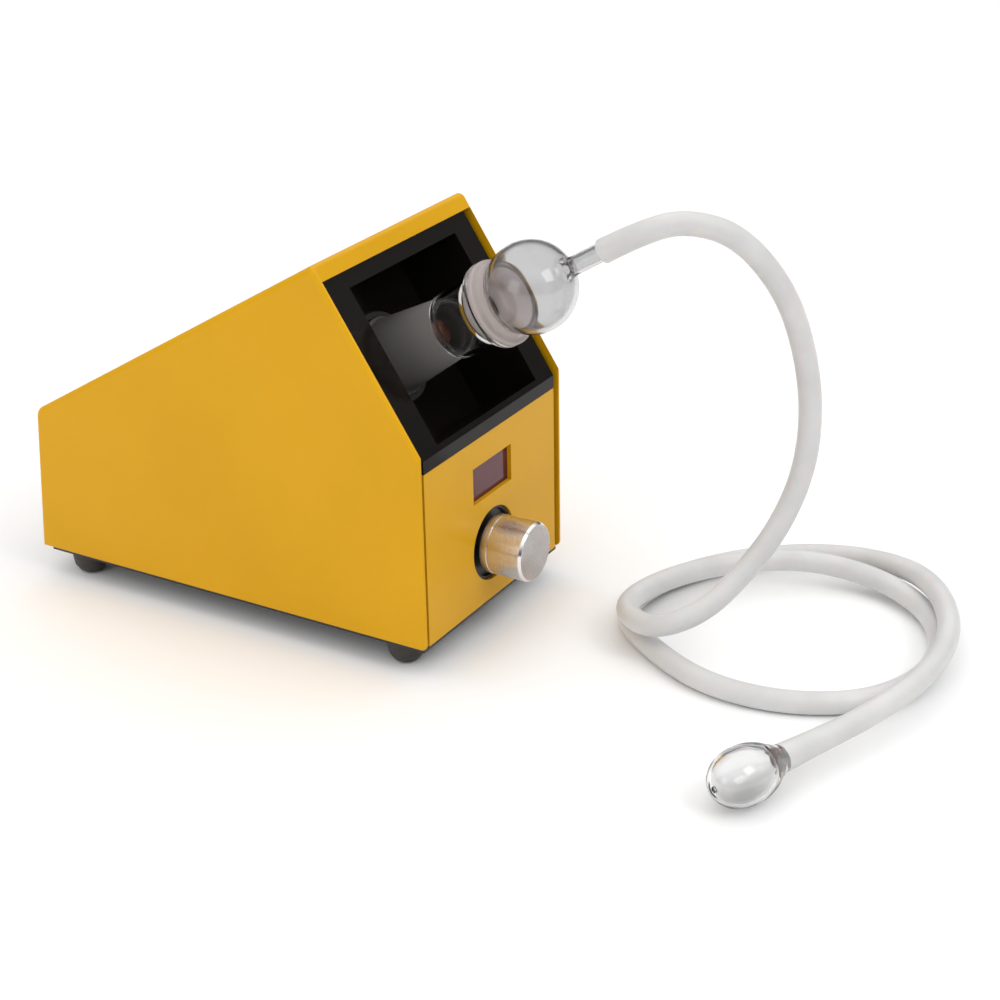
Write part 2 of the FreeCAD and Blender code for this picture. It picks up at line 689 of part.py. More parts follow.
def make_knob():
    """Turned knob on the potentiometer shaft; Z of its own frame points to the front."""
    place = facing_front(0, 0, size("knob_height"))
    body = turned("knob", [
        ("Dims.shaft_radius", "Dims.half_depth - 1"),
        ("Dims.knob_radius - 0.6", "Dims.half_depth - 1"),
        ("Dims.knob_radius", "Dims.half_depth - 0.4"),
        ("Dims.knob_radius", "Dims.knob_face - Dims.knob_chamfer_long"),
        ("Dims.knob_radius - Dims.knob_chamfer", "Dims.knob_face"),
        ("0", "Dims.knob_face"),
        ("0", "Dims.knob_face - 5"),
        ("Dims.shaft_radius", "Dims.knob_face - 5"),
    ], place)
    side = new_sketch(body, "YZ_Plane")
    circle(side, "0", "Dims.half_depth + Dims.grub_back", "Dims.grub_radius")
    pocket(body, side, "20", backwards=True)
    turned("knob_shaft", [
        ("0", "Dims.half_depth - Dims.panel_inset - 11.7"),
        ("Dims.shaft_radius", "Dims.half_depth - Dims.panel_inset - 11.7"),
        ("Dims.shaft_radius", "Dims.knob_face - 5"),
        ("0", "Dims.knob_face - 5"),
    ], place)
    turned("knob_set_screw", [
        ("0", "Dims.shaft_radius"),
        ("Dims.grub_radius", "Dims.shaft_radius"),
        ("Dims.grub_radius", "Dims.shaft_radius + 4.5"),
        ("0", "Dims.shaft_radius + 4.5"),
    ], Placement(Vector(0, -size("half_depth") - size("grub_back"), size("knob_height")),
                 Rotation(Vector(0, 1, 0), 90)))


def make_control():
    """Potentiometer behind a black dish that fills the panel's round hole."""
    place = facing_front(0, 0, size("knob_height"))
    bore = "Dims.shaft_radius + Dims.shaft_gap"
    turned("knob_dish", [
        ("5", "Dims.half_depth - Dims.panel_inset - 4.2"),
        ("Dims.knob_hole + 3", "Dims.half_depth - Dims.panel_inset - 4.2"),
        ("Dims.knob_hole + 3", "Dims.half_depth - Dims.panel_inset - 2"),
        ("Dims.knob_hole - 0.3", "Dims.half_depth - Dims.panel_inset - 2"),
        ("Dims.knob_hole - 0.3", "Dims.half_depth - Dims.panel_inset - 1.3"),
        ("Dims.knob_hole - 1.3", "Dims.half_depth - Dims.panel_inset - 1.3"),
        ("Dims.knob_hole - 1.3", "Dims.half_depth - Dims.panel_inset - 2.9"),
        ("5", "Dims.half_depth - Dims.panel_inset - 2.9"),
    ], place)
    turned("pot_body", [
        (bore, "Dims.half_depth - Dims.panel_inset - 11.7"),
        (bore, "Dims.half_depth - Dims.panel_inset - 1.1"),
        ("4.2", "Dims.half_depth - Dims.panel_inset - 1.1"),
        ("4.2", "Dims.half_depth - Dims.panel_inset - 4.7"),
        ("8.5", "Dims.half_depth - Dims.panel_inset - 4.7"),
        ("8.5", "Dims.half_depth - Dims.panel_inset - 13.7"),
        ("0", "Dims.half_depth - Dims.panel_inset - 13.7"),
        ("0", "Dims.half_depth - Dims.panel_inset - 11.7"),
    ], place)
    turned("pot_washer", [
        ("4.2", "Dims.half_depth - Dims.panel_inset - 2.9"),
        ("7", "Dims.half_depth - Dims.panel_inset - 2.9"),
        ("7", "Dims.half_depth - Dims.panel_inset - 2.5"),
        ("4.2", "Dims.half_depth - Dims.panel_inset - 2.5"),
    ], place)
    nut = new_body("pot_nut", place)
    face = new_sketch(nut, "XY_Plane", "Dims.half_depth - Dims.panel_inset - 2.5")
    hexagon(face, "5.6")
    circle(face, "0", "0", "4.2")
    pad(nut, face, "1.4")


def make_display():
    """Tinted window, the numeric display behind it and its small board."""
    back = -size("half_depth") + size("panel_inset") + size("insert_thick")
    middle = "(Dims.window_low + Dims.window_high) / 2"
    window = new_body("display_window", facing_front(0, back + 1.6, 0))
    face = new_sketch(window, "XY_Plane")
    rectangle(face, "-Dims.window_half - 3", "Dims.window_low - 3",
              "Dims.window_half + 3", "Dims.window_high + 3")
    pad(window, face, "1.6")
    module = new_body("display_module", facing_front(0, back + 8.2, 0))
    block = new_sketch(module, "XY_Plane")
    rectangle(block, "-Dims.window_half + 0.6", f"{middle} - 7",
              "Dims.window_half - 0.6", f"{middle} + 7")
    pad(module, block, "6.4")
    board = new_body("display_board", facing_front(0, back + 9.8, 0))
    card = new_sketch(board, "XY_Plane")
    rectangle(card, "-22", f"{middle} - 11", "22", f"{middle} + 11")
    for side in ("-", ""):
        circle(card, f"{side}19", middle, "1.4")
    pad(board, card, "1.6")


# ---------------------------------------------------------------- inside of the box

def plate_top():
    return size("plate_bottom") + size("sheet")


def make_electronics():
    """Control board on four posts, switching device with its heat sink, and the transformer."""
    top = plate_top()
    holes = [(x, y) for x in (-34, 34) for y in (-76, -42)]
    board = new_body("control_board")
    card = new_sketch(board, "XY_Plane", "Dims.plate_bottom + Dims.sheet + 7")
    rectangle(card, "-38", "-80", "38", "-38")
    for x, y in holes:
        circle(card, x, y, "1.6")
    pad(board, card, "1.6")
    posts = []
    for x, y in holes:
        foot = Vector(x, y, top)
        posts.append(Part.makeCylinder(3, 7, foot).cut(Part.makeCylinder(1.3, 7, foot)))
    joined("board_posts", posts, in_frame())
    joined("board_screws", [screw_shape(Vector(x, y, top + 8.6), Vector(0, 0, -1), 2.8, 1.8, 1.3, 7)
                            for x, y in holes], in_frame())
    sink = new_body("heat_sink")
    fins = new_sketch(sink, "XY_Plane", "Dims.plate_bottom + Dims.sheet + 8.6")
    comb = []
    for number in reversed(range(FIN_COUNT)):
        left = 7 + number * FIN_PITCH
        right = left + FIN_THICK
        comb += [(right, "-62"), (right, "-54"), (left, "-54"), (left, "-62")]
    outline(fins, [("6", "-64"), ("30", "-64"), ("30", "-62")] + comb + [("6", "-62")])
    pad(sink, fins, "18")
    device = new_body("heater_switch")
    chip = new_sketch(device, "XY_Plane", "Dims.plate_bottom + Dims.sheet + 10.6")
    rectangle(chip, "13", "-68.4", "23", "-64")
    pad(device, chip, "15")
    core = new_body("transformer_core")
    iron = new_sketch(core, "YZ_Plane")
    rectangle(iron, "18", "Dims.plate_bottom + Dims.sheet",
              "66", "Dims.plate_bottom + Dims.sheet + 40")
    rectangle(iron, "26", "Dims.plate_bottom + Dims.sheet + 8", "37",
              "Dims.plate_bottom + Dims.sheet + 32")
    rectangle(iron, "47", "Dims.plate_bottom + Dims.sheet + 8", "58",
              "Dims.plate_bottom + Dims.sheet + 32")
    pad(core, iron, "22", midplane=True)
    coil = new_body("transformer_coil")
    winding = new_sketch(coil, "XY_Plane", "Dims.plate_bottom + Dims.sheet + 8.4")
    rectangle(winding, "-20", "26.4", "20", "57.6")
    rectangle(winding, "-11.2", "36.8", "11.2", "47.2")
    pad(coil, winding, "23.2")


def make_inlet():
    """Three-pin appliance inlet in the rear panel; its frame is that of the panel."""
    place = rear_placement()
    body = new_body("power_inlet", place)
    flange = new_sketch(body, "XY_Plane", "2")
    rectangle(flange, "2", "7.5", "52", "33.5")
    for x, y in INLET_SCREWS:
        circle(flange, x, y, "1.5")
    pad(body, flange, "2.5")
    shell = new_sketch(body, "XY_Plane", "-18")
    outline(shell, [("12.8", "15"), ("17.6", "10.2"), ("36.4", "10.2"), ("41.2", "15"),
                    ("41.2", "30.8"), ("12.8", "30.8")])
    pad(body, shell, "21")
    socket = new_sketch(body, "XY_Plane", "-13")
    outline(socket, [("15", "16"), ("18.6", "12.4"), ("35.4", "12.4"), ("39", "16"),
                     ("39", "28.6"), ("15", "28.6")])
    pocket(body, socket, "25", backwards=True)
    slots = new_sketch(body, "XY_Plane", "-20")
    for x, y in INLET_PINS:
        rectangle(slots, f"{x} - 0.5", f"{y} - 2", f"{x} + 0.5", f"{y} + 2")
    pocket(body, slots, "10", backwards=True)
    pins = [Part.makeBox(1, 4, 16, Vector(x - 0.5, y - 2, -19)) for x, y in INLET_PINS]
    joined("inlet_pins", pins, in_frame(place))
    joined("inlet_screws", [screw_shape(Vector(x, y, 4.5), Vector(0, 0, -1), 3, 1.8, 1.5, 6)
                            for x, y in INLET_SCREWS], in_frame(place))


def make_rear_screws():
    screws = [screw_shape(Vector(x, y, 2), Vector(0, 0, -1), 2.6, 1.8, 1.4, 6)
              for x, y in REAR_SCREWS]
    joined("rear_screws", screws, in_frame(rear_placement()))


# ---------------------------------------------------------------- feet

def make_feet():
    """Four rubber domes under the base plate, each held by a screw from inside the box."""
    top = "Dims.plate_bottom"
    names = {(-1, -1): "foot_front_left", (1, -1): "foot_front_right",
             (-1, 1): "foot_rear_left", (1, 1): "foot_rear_right"}
    radius = "Dims.rubber_radius"
    for (side, end), name in names.items():
        spot = Vector(side * size("foot_x"), end * size("foot_y"), 0)
        body = new_body(name, Placement(spot, Rotation()))
        sketch = new_sketch(body, "XZ_Plane")
        outline(sketch, [("0", "0"), (f"{radius} - 3.4", "0"), (f"{radius} - 1", "2.6"),
                         (radius, "6.2"), (radius, top), ("0", top)])
        turn = body.newObject("PartDesign::Revolution", name + "_turn")
        turn.Profile = sketch
        turn.ReferenceAxis = (sketch, ["V_Axis"])
        doc.recompute()
    spots = [(side * size("foot_x"), end * size("foot_y")) for side, end in names]
    joined("foot_screws", [screw_shape(Vector(x, y, plate_top()), Vector(0, 0, -1), 3, 2, 1.5,
                                       size("sheet")) for x, y in spots], in_frame())


make_cover()
make_front_panel()
make_base_plate()
make_rear_panel()
make_tray()
make_heater()
make_bowl()
make_bulb()
make_hose()
make_mouthpiece()
make_knob()
make_control()
make_display()
make_electronics()
make_inlet()
make_rear_screws()
make_feet()
doc.recompute()

for item in doc.Objects:
    if "Invalid" in item.State or "Error" in item.State:
        raise RuntimeError("object failed: " + item.Label)
os.makedirs("parts", exist_ok=True)
for part in SUB_PARTS:
    if part.Shape.isNull() or not part.Shape.isValid():
        raise RuntimeError("bad shape: " + part.Label)
    part.Shape.exportStep("parts/" + part.Label + ".step")
print(len(SUB_PARTS), "nodes written")
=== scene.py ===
import math

import bmesh
import bpy
from mathutils import Matrix, Vector


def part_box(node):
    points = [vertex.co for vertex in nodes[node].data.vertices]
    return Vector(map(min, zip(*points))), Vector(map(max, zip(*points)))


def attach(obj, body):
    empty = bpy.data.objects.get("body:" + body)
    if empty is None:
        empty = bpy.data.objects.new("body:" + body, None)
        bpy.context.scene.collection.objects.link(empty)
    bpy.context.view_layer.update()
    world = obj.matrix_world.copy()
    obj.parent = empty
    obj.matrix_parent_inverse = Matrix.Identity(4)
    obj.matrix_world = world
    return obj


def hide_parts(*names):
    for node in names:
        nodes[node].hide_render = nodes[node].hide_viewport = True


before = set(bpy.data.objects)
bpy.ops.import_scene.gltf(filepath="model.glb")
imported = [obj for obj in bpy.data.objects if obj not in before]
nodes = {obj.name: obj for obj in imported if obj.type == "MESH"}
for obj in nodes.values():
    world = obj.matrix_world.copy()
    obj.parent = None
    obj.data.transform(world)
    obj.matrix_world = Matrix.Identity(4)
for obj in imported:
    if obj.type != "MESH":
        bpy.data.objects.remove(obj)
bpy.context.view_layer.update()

# ------------------------------------------------------------------ camera

CAMERA_PLACE = (-0.68733, -0.49925, 0.43736)
CAMERA_AZIMUTH, CAMERA_ELEVATION, CAMERA_ROLL = -58.73, 25.17, 1.16
LENS, SENSOR = 76.03, 36.0


def make_camera():
    """The solved camera: a place, two angles that aim it and a small roll."""
    data = bpy.data.cameras.new("camera")
    data.lens, data.sensor_width = LENS, SENSOR
    data.clip_start, data.clip_end = 0.01, 50
    camera = bpy.data.objects.new("camera", data)
    bpy.context.scene.collection.objects.link(camera)
    az, el, roll = (math.radians(a) for a in (CAMERA_AZIMUTH, CAMERA_ELEVATION, CAMERA_ROLL))
    back = Vector((math.sin(az) * math.cos(el), -math.cos(az) * math.cos(el), math.sin(el)))
    right = Vector((0, 0, 1)).cross(back).normalized()
    up = back.cross(right)
    across = right * math.cos(roll) - up * math.sin(roll)
    above = right * math.sin(roll) + up * math.cos(roll)
    turn = Matrix((across, above, back)).transposed().to_4x4()
    camera.matrix_world = Matrix.Translation(CAMERA_PLACE) @ turn
    bpy.context.scene.camera = camera


make_camera()

# ------------------------------------------------------------------ finishes

NO_STRETCH, ROUND_Y = (1, 1, 1), (1, 4, 1)
NOISE_RANGE = (0.3, 0.7)
PATCH_RANGE = (0.35, 0.65)


class Finish:
    """A Principled material whose colour, roughness and relief come from procedural nodes.

    Lengths are metres: a noise of scale 400 has features about 2.5 mm across.
    """

    def __init__(self, name, roughness, **sockets):
        self.material = bpy.data.materials.new(name)
        self.material.use_nodes = True
        self.tree = self.material.node_tree
        self.shader = self.tree.nodes["Principled BSDF"]
        self.shader.inputs["Roughness"].default_value = roughness
        for socket, value in sockets.items():
            self.shader.inputs[socket.replace("_", " ")].default_value = value
        self.place = self.tree.nodes.new("ShaderNodeTexCoord").outputs["Object"]
        self.relief = None

    def link(self, a, b):
        self.tree.links.new(a, b)

    def noise(self, scale, detail=2.0, stretch=NO_STRETCH):
        mapping = self.tree.nodes.new("ShaderNodeMapping")
        mapping.inputs["Scale"].default_value = stretch
        self.link(self.place, mapping.inputs["Vector"])
        node = self.tree.nodes.new("ShaderNodeTexNoise")
        node.inputs["Scale"].default_value = scale
        node.inputs["Detail"].default_value = detail
        self.link(mapping.outputs["Vector"], node.inputs["Vector"])
        return node.outputs["Fac"]

    def specks(self, scale, size):
        """1 inside small round specks, 0 elsewhere."""
        node = self.tree.nodes.new("ShaderNodeTexVoronoi")
        node.inputs["Scale"].default_value = scale
        self.link(self.place, node.inputs["Vector"])
        return self.spread(node.outputs["Distance"], size, size * 0.7, 0, 1)

    def spread(self, value, low, high, to_low, to_high):
        node = self.tree.nodes.new("ShaderNodeMapRange")
        for index, number in zip((1, 2, 3, 4), (low, high, to_low, to_high)):
            node.inputs[index].default_value = number
        self.link(value, node.inputs[0])
        return node.outputs[0]

    def mix(self, factor, first, second):
        node = self.tree.nodes.new("ShaderNodeMix")
        node.data_type = "RGBA"
        self.link(factor, node.inputs[0])
        for index, colour in ((6, first), (7, second)):
            if isinstance(colour, tuple):
                node.inputs[index].default_value = (*colour, 1)
            else:
                self.link(colour, node.inputs[index])
        return node.outputs[2]

    def colour(self, socket):
        self.link(socket, self.shader.inputs["Base Color"])

    def rough(self, factor, low, high):
        """Roughness between two values over the noise's usual range."""
        self.link(self.spread(factor, *NOISE_RANGE, low, high), self.shader.inputs["Roughness"])

    def bump(self, height, distance, strength=1.0):
        node = self.tree.nodes.new("ShaderNodeBump")
        node.inputs["Distance"].default_value = distance
        node.inputs["Strength"].default_value = strength
        self.link(height, node.inputs["Height"])
        if self.relief:
            self.link(self.relief, node.inputs["Normal"])
        self.relief = node.outputs["Normal"]
        self.link(self.relief, self.shader.inputs["Normal"])


def mottled(name, dark, light, roughness, grain=900, depth=0.00003, **sockets):
    """A finish with soft patches of two near colours, uneven gloss and a fine grain."""
    finish = Finish(name, roughness, **sockets)
    patches = finish.spread(finish.noise(60, 4.0), *PATCH_RANGE, 0, 1)
    finish.colour(finish.mix(patches, dark, light))
    finish.rough(finish.noise(180, 3.0), roughness - 0.06, roughness + 0.06)
    finish.bump(finish.noise(grain), depth)
    return finish.material


PAINT_DARK, PAINT_LIGHT = (0.67, 0.345, 0.003), (0.715, 0.37, 0.0045)


def make_paint():
    """Satin enamel on folded sheet steel: fine orange peel and faint handling marks."""
    finish = Finish("paint_yellow", 0.3, Specular_IOR_Level=0.18)
    patches = finish.spread(finish.noise(14, 4.0), *PATCH_RANGE, 0, 1)
    finish.colour(finish.mix(patches, PAINT_DARK, PAINT_LIGHT))
    finish.rough(finish.noise(45, 3.0), 0.28, 0.36)
    finish.bump(finish.noise(520, 1.0), 0.000006)
    finish.bump(finish.noise(22, 1.0), 0.0001, 0.2)
    return finish.material


ACRYLIC_DARK, ACRYLIC_LIGHT = (0.0055, 0.0042, 0.0034), (0.0085, 0.0068, 0.0056)
ACRYLIC_DUST = (0.06, 0.055, 0.05)


def make_acrylic():
    """Polished black acrylic with fine dust and faint wiping marks."""
    finish = Finish("acrylic_black", 0.1, Specular_IOR_Level=0.14)
    base = finish.mix(finish.noise(50, 3.0), ACRYLIC_DARK, ACRYLIC_LIGHT)
    finish.colour(finish.mix(finish.specks(420, 0.03), base, ACRYLIC_DUST))
    finish.rough(finish.noise(70, 6.0, (1, 0.35, 0.35)), 0.08, 0.2)
    finish.bump(finish.noise(35), 0.0001, 0.4)
    return finish.material


def make_glass(name, tint, low, high):
    """Blown borosilicate: clear, with a slight waviness and a faint film."""
    finish = Finish(name, low, Transmission_Weight=1.0, IOR=1.474)
    finish.colour(finish.mix(finish.noise(90, 3.0), tint, tuple(0.97 * c for c in tint)))
    finish.rough(finish.noise(160, 4.0), low, high)
    finish.bump(finish.noise(75, 1.0), 0.00004, 0.6)
    return finish.material


def make_frosted(name, tint, roughness, transmission):
    """Ground glass: a fine pitted surface that scatters."""
    finish = Finish(name, roughness, Transmission_Weight=transmission, IOR=1.474)
    finish.colour(finish.mix(finish.noise(120, 4.0), tint, tuple(0.9 * c for c in tint)))
    finish.rough(finish.noise(300, 4.0), roughness - 0.06, roughness + 0.08)
    finish.bump(finish.noise(4200), 0.00002)
    return finish.material


HOSE_DARK, HOSE_LIGHT = (0.59, 0.59, 0.585), (0.66, 0.66, 0.655)
HOSE_DUST = (0.42, 0.42, 0.41)


def make_silicone():
    """Milky silicone tube: soft gloss, extrusion lines, a little dust."""
    finish = Finish("silicone_milky", 0.36, Subsurface_Weight=0.35, Subsurface_Scale=0.004,
                    IOR=1.41)
    cloud = finish.spread(finish.noise(55, 4.0), *NOISE_RANGE, 0, 1)
    base = finish.mix(cloud, HOSE_DARK, HOSE_LIGHT)
    finish.colour(finish.mix(finish.specks(300, 0.04), base, HOSE_DUST))
    finish.rough(finish.noise(150, 4.0), 0.3, 0.46)
    finish.bump(finish.noise(420), 0.00004, 0.6)
    return finish.material


def make_turned_metal(name, dark, light, roughness, stretch, grain=2600, depth=0.000012,
                      anisotropy=0.0, axis=None, film=0.06):
    """Machined metal: tool lines across the stretch, and finger film in the gloss.

    With an axis the gloss spreads along that axis, as on a part turned round it.
    """
    finish = Finish(name, roughness, Metallic=1.0, Anisotropic=anisotropy,
                    Anisotropic_Rotation=0.25)
    lines = finish.noise(grain, 3.0, stretch)
    finish.colour(finish.mix(finish.spread(lines, *NOISE_RANGE, 0, 1), dark, light))
    finish.rough(finish.noise(120, 4.0), roughness - film, roughness + film)
    finish.bump(lines, depth)
    if axis:
        tangent = finish.tree.nodes.new("ShaderNodeTangent")
        tangent.direction_type = "RADIAL"
        tangent.axis = axis
        finish.link(tangent.outputs["Tangent"], finish.shader.inputs["Tangent"])
    return finish.material


FILTER_DARK, FILTER_LIGHT = (0.085, 0.012, 0.017), (0.11, 0.018, 0.025)


def make_display_filter():
    """Dark red acrylic window over the digits: deep colour, polished, a few wipe marks."""
    finish = Finish("display_filter", 0.09, Specular_IOR_Level=0.38)
    finish.colour(finish.mix(finish.noise(110, 3.0), FILTER_DARK, FILTER_LIGHT))
    finish.rough(finish.noise(90, 5.0, (1, 1, 0.3)), 0.06, 0.16)
    finish.bump(finish.noise(60, 1.0), 0.00006, 0.4)
    return finish.material


MASK_DARK, MASK_LIGHT = (0.012, 0.10, 0.035), (0.02, 0.17, 0.06)


def make_board():
    """Green solder mask with faint track ridges."""
    finish = Finish("board_green", 0.4, Coat_Weight=0.3)
    tracks = finish.tree.nodes.new("ShaderNodeTexBrick")
    tracks.inputs["Scale"].default_value = 220
    tracks.inputs["Mortar Size"].default_value = 0.06
    finish.link(finish.place, tracks.inputs["Vector"])
    finish.colour(finish.mix(tracks.outputs["Fac"], MASK_DARK, MASK_LIGHT))
    finish.rough(finish.noise(200, 3.0), 0.34, 0.48)
    finish.bump(tracks.outputs["Fac"], 0.00004, 0.5)
    return finish.material


FINISHES = {
    "yellow_paint": make_paint(),
    "black_sheet": mottled("sheet_black", (0.010, 0.010, 0.010), (0.018, 0.017, 0.016), 0.38,
                           grain=1600),
    "black_acrylic": make_acrylic(),
    "frosted_glass": make_frosted("glass_ground", (0.38, 0.36, 0.345), 0.42, 0.5),
    "clear_glass": make_glass("glass_clear", (0.86, 0.86, 0.862), 0.005, 0.03),
    "clamp_black": mottled("clamp_black", (0.010, 0.010, 0.010), (0.02, 0.02, 0.02), 0.45),
    "ceramic_white": mottled("ceramic_white", (0.62, 0.58, 0.52), (0.76, 0.73, 0.68), 0.55,
                             grain=2200, depth=0.00004),
    "heater_copper": make_turned_metal("heater_copper", (0.26, 0.11, 0.075),
                                       (0.46, 0.22, 0.15), 0.5, NO_STRETCH, 700),
    "screw_steel": make_turned_metal("screw_steel", (0.38, 0.38, 0.38), (0.55, 0.55, 0.54),
                                     0.3, NO_STRETCH, 1800),
    "silicone": make_silicone(),
    "knob_metal": make_turned_metal("knob_side", (0.66, 0.62, 0.60), (0.78, 0.74, 0.72), 0.27,
                                    ROUND_Y, 450, 0.0000005, 0.8, "Y", 0.015),
    "shaft_metal": make_turned_metal("shaft_metal", (0.45, 0.44, 0.42), (0.6, 0.58, 0.56), 0.25,
                                     ROUND_Y),
    "dish_black": mottled("dish_black", (0.008, 0.008, 0.008), (0.014, 0.013, 0.012), 0.4),
    "pot_case": make_turned_metal("pot_case", (0.40, 0.40, 0.38), (0.55, 0.54, 0.5), 0.35,
                                  NO_STRETCH, 1400),
    "display_filter": make_display_filter(),
    "display_black": mottled("display_black", (0.008, 0.008, 0.009), (0.015, 0.015, 0.016),
                             0.35),
    "board_green": make_board(),
    "post_nylon": mottled("post_nylon", (0.66, 0.63, 0.55), (0.74, 0.72, 0.66), 0.45,
                          Subsurface_Weight=0.2, Subsurface_Scale=0.002),
    "sink_metal": make_turned_metal("sink_metal", (0.55, 0.55, 0.56), (0.68, 0.68, 0.69), 0.4,
                                    (1, 1, 6), 1200),
    "device_black": mottled("device_black", (0.010, 0.010, 0.011), (0.02, 0.02, 0.021), 0.5),
    "iron_core": make_turned_metal("iron_core", (0.13, 0.12, 0.11), (0.28, 0.26, 0.24), 0.5,
                                   (1, 14, 1), 500, 0.00004),
    "coil_tape": mottled("coil_tape", (0.50, 0.36, 0.05), (0.58, 0.44, 0.08), 0.35, grain=600,
                         depth=0.00005),
    "inlet_black": mottled("inlet_black", (0.012, 0.012, 0.012), (0.02, 0.02, 0.02), 0.42,
                           grain=1500, depth=0.00004),
    "pin_brass": make_turned_metal("pin_brass", (0.55, 0.38, 0.16), (0.70, 0.50, 0.22), 0.25,
                                   NO_STRETCH, 1800),
    "foot_rubber": mottled("foot_rubber", (0.022, 0.018, 0.015), (0.034, 0.029, 0.024), 0.5,
                           grain=1300, depth=0.00006),
}
PLUG_GLASS = make_frosted("glass_plug", (1.0, 0.91, 0.88), 0.4, 0.08)
RING_GLASS = make_frosted("glass_ring", (0.76, 0.68, 0.65), 0.12, 0.6)
# The bulb is the same clear borosilicate as the other glass; its greyer tint is painted shade for
# the dim surroundings seen through it.
BULB_GLASS_PAINTED_SHADE = make_glass("glass_bulb_painted_shade", (0.73, 0.73, 0.735), 0.04, 0.08)
TIP_GLASS = make_glass("glass_tip", (0.92, 0.92, 0.922), 0.005, 0.03)
KNOB_FACE = make_turned_metal("knob_face", (0.60, 0.56, 0.545), (0.72, 0.685, 0.67), 0.3,
                              NO_STRETCH, 1500, 0.000004, 0.85, "Y")
# The chamfer is the knob's own metal, polished; its lighter colour than the side is a painted
# highlight.
KNOB_EDGE = make_turned_metal("knob_chamfer_painted_highlight", (0.74, 0.72, 0.70), (0.84, 0.82, 0.80), 0.14,
                              NO_STRETCH, 1500, 0.000003)


def dress_nodes():
    """Give each carried-over node the finish of its own slot."""
    for node in nodes.values():
        for slot in node.material_slots:
            slot.material = FINISHES[slot.material.name.split(".")[0]]


dress_nodes()

# ------------------------------------------------------------------ turned pieces

MM = 0.001
ON_AXIS = 1e-4
SLOPE_TILT = 58.3
AXIS_FOOT = (0, -0.05823, 0.13189)


def slope_frame():
    """X across, Y up the slope, Z out along the leaning heater axis; its origin is the foot."""
    return Matrix.Translation(AXIS_FOOT) @ Matrix.Rotation(math.radians(SLOPE_TILT), 4, "X")


def front_frame(height):
    """Z points to the front, through the knob's axis."""
    return Matrix.Translation((0, 0, height)) @ Matrix.Rotation(math.radians(90), 4, "X")


ARC_STEPS = 6
STRAIGHT = 0.01
EDGE_SHARE = 0.48
HOLD_STEP, HOLD_SHARE = 0.15, 0.02


def rounded(corners, closed):
    """Corners (radius, height, fillet) in mm as a dense outline with an arc at each fillet.

    A fillet takes at most EDGE_SHARE of either edge. A point just outside each end of its arc
    keeps the flat beside it smooth-shaded as a flat.
    """

    def hold(way):
        return way.normalized() * min(HOLD_STEP, way.length * HOLD_SHARE)

    points = []
    count = len(corners)
    for number, (radius, height, fillet) in enumerate(corners):
        here = Vector((radius, height))
        end = not closed and number in (0, count - 1)
        if fillet <= 0 or end:
            points.append(here)
            continue
        before = Vector(corners[number - 1][:2]) - here
        after = Vector(corners[(number + 1) % count][:2]) - here
        half = before.angle(after) / 2
        if abs(half - math.pi / 2) < STRAIGHT:
            points.append(here)
            continue
        reach = min(fillet / math.tan(half), EDGE_SHARE * before.length,
                    EDGE_SHARE * after.length)
        fillet = reach * math.tan(half)
        centre = here + (before.normalized() + after.normalized()).normalized() * (
            fillet / math.sin(half))
        start = here + before.normalized() * reach - centre
        finish = here + after.normalized() * reach - centre
        points.append(centre + start + hold(before))
        turn = start.angle_signed(finish)
        for step in range(ARC_STEPS + 1):
            arm = start.copy()
            arm.rotate(Matrix.Rotation(-turn * step / ARC_STEPS, 2))
            points.append(centre + arm)
        points.append(centre + finish + hold(after))
    return points


BALL_STEPS = 40


def arc(centre, radius, start, end):
    """Profile points on a circle about the axis; angles in radians from the axis."""
    points = []
    for step in range(BALL_STEPS + 1):
        angle = start + (end - start) * step / BALL_STEPS
        points.append((radius * math.sin(angle), centre + radius * math.cos(angle), 0))
    return points


FLOW_STEPS = 8


def flowing(points):
    """A smooth profile through points (radius, height), with no corners."""
    ends = [points[0]] + points + [points[-1]]
    dense = []
    for a, b, c, d in zip(ends, ends[1:], ends[2:], ends[3:]):
        for step in range(FLOW_STEPS):
            t = step / FLOW_STEPS
            dense.append(tuple(
                0.5 * (2 * q + (r - p) * t + (2 * p - 5 * q + 4 * r - s) * t ** 2
                       + (3 * q - p - 3 * r + s) * t ** 3)
                for p, q, r, s in zip(a, b, c, d)) + (0,))
    return dense + [(*points[-1], 0)]


def turned(name, place, corners, closed, materials, body, paint=None, segments=96):
    """A turned piece with its mesh in the frame; paint picks a material for (radius, height)."""
    shape = bmesh.new()
    rings = []
    for radius, height in rounded(corners, closed):
        if radius < ON_AXIS:
            rings.append([shape.verts.new((0, 0, height * MM))])
            continue
        rings.append([shape.verts.new((radius * MM * math.cos(2 * math.pi * n / segments),
                                       radius * MM * math.sin(2 * math.pi * n / segments),
                                       height * MM)) for n in range(segments)])
    following = rings[1:] + rings[:1] if closed else rings[1:]
    for low, high in zip(rings, following):
        for n in range(segments):
            m = (n + 1) % segments
            if len(low) == 1:
                shape.faces.new((low[0], high[n], high[m]))
            elif len(high) == 1:
                shape.faces.new((low[n], low[m], high[0]))
            else:
                shape.faces.new((low[n], low[m], high[m], high[n]))
    bmesh.ops.recalc_face_normals(shape, faces=shape.faces)
    for face in shape.faces:
        face.smooth = True
        if paint:
            middle = face.calc_center_median() / MM
            face.material_index = paint(math.hypot(middle.x, middle.y), middle.z)
    shape.transform(place)
    mesh = bpy.data.meshes.new(name)
    shape.to_mesh(mesh)
    shape.free()
    for material in materials:
        mesh.materials.append(material)
    piece = bpy.data.objects.new(name, mesh)
    bpy.context.scene.collection.objects.link(piece)
    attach(piece, body)
    return piece


